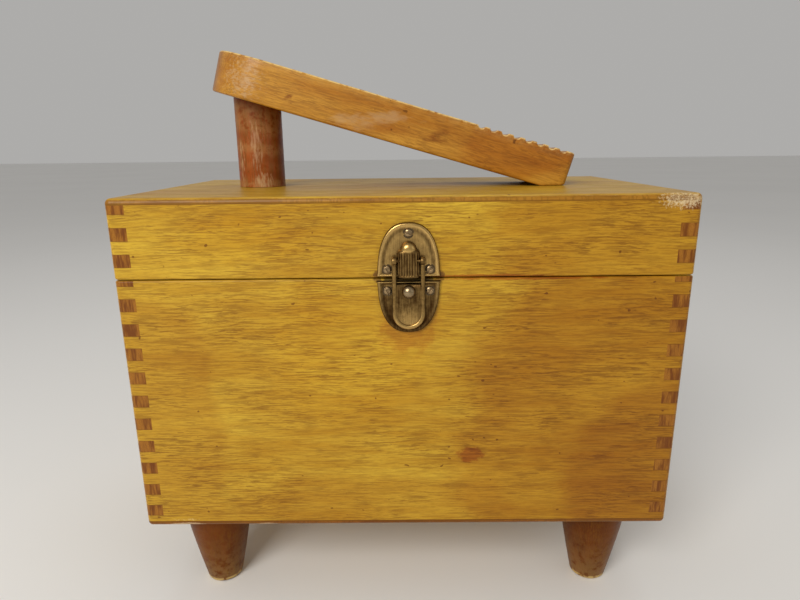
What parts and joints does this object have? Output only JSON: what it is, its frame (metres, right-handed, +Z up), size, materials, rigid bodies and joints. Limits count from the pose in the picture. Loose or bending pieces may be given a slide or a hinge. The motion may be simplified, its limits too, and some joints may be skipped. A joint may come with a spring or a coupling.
{
  "type": "shoe-shine box",
  "caption": "Finger-jointed wooden box on turned tapered feet, with a hinged lid, an oval snap catch, an inner sliding tray and a sloping footrest that is also the handle.",
  "frame": {"origin": "on the floor under the middle of the case", "axes": "+X to the right along the box, towards the low heel of the footrest; +Y to the hinged back; +Z up"},
  "size_m": [0.28, 0.1801, 0.3006],
  "materials": {
    "board_wood": "satin varnish, honey yellow, fine straight grain",
    "panel_ply": "satin varnish over thin plywood, darker core at the edge",
    "rest_wood": "worn gloss varnish, orange brown, rubbed pale over the toe",
    "post_wood": "worn varnish, red brown",
    "foot_wood": "gloss varnish, orange brown",
    "inner_wood": "bare, sanded",
    "aged_brass": "stamped brass, dark patina, rubbed bright on the edges",
    "hinge_brass": "plated, dull",
    "steel": "dull, darkened"
  },
  "bodies": {
    "case": {"case_front": "board_wood", "case_back": "board_wood", "case_left": "board_wood", "case_right": "board_wood", "case_bottom": "panel_ply", "runner_front": "inner_wood", "runner_back": "inner_wood", "foot_front_left": "foot_wood", "foot_front_right": "foot_wood", "foot_rear_left": "foot_wood", "foot_rear_right": "foot_wood", "foot_screws": "steel", "foot_washers": "steel", "hinge_leaf_case_left": "hinge_brass", "hinge_leaf_case_right": "hinge_brass", "hinge_pin_left": "hinge_brass", "hinge_pin_right": "hinge_brass", "hinge_screws_case": "steel", "catch_plate_case": "aged_brass", "catch_tacks_case": "steel", "catch_keeper": "aged_brass"},
    "lid": {"lid_front": "board_wood", "lid_back": "board_wood", "lid_left": "board_wood", "lid_right": "board_wood", "lid_top": "panel_ply", "lid_brace": "inner_wood", "footrest": "rest_wood", "footrest_post": "post_wood", "footrest_dowel": "inner_wood", "footrest_screws": "steel", "hinge_leaf_lid_left": "hinge_brass", "hinge_leaf_lid_right": "hinge_brass", "hinge_screws_lid": "steel", "catch_plate_lid": "aged_brass", "catch_tacks_lid": "steel", "catch_hood": "aged_brass"},
    "hasp": {"hasp": "aged_brass", "hasp_knob": "aged_brass", "hasp_pin": "aged_brass"},
    "tray": {"tray_front": "inner_wood", "tray_back": "inner_wood", "tray_left": "inner_wood", "tray_right": "inner_wood", "tray_floor": "inner_wood", "tray_divider_long": "inner_wood", "tray_divider_short": "inner_wood"}
  },
  "joints": [
    {"name": "lid_hinge", "type": "hinge", "parent": "case", "child": "lid", "pos_m": [0, 0.08345, 0.18685], "axis": [-1, 0, 0], "range_deg": [0, 105]},
    {"name": "hasp_hinge", "type": "hinge", "parent": "lid", "child": "hasp", "pos_m": [0.0025, -0.0853, 0.196], "axis": [-1, 0, 0], "range_deg": [0, 150]},
    {"name": "tray_slide", "type": "slide", "parent": "case", "child": "tray", "axis": [1, 0, 0], "range_m": [0, 0.1302]}
  ]
}
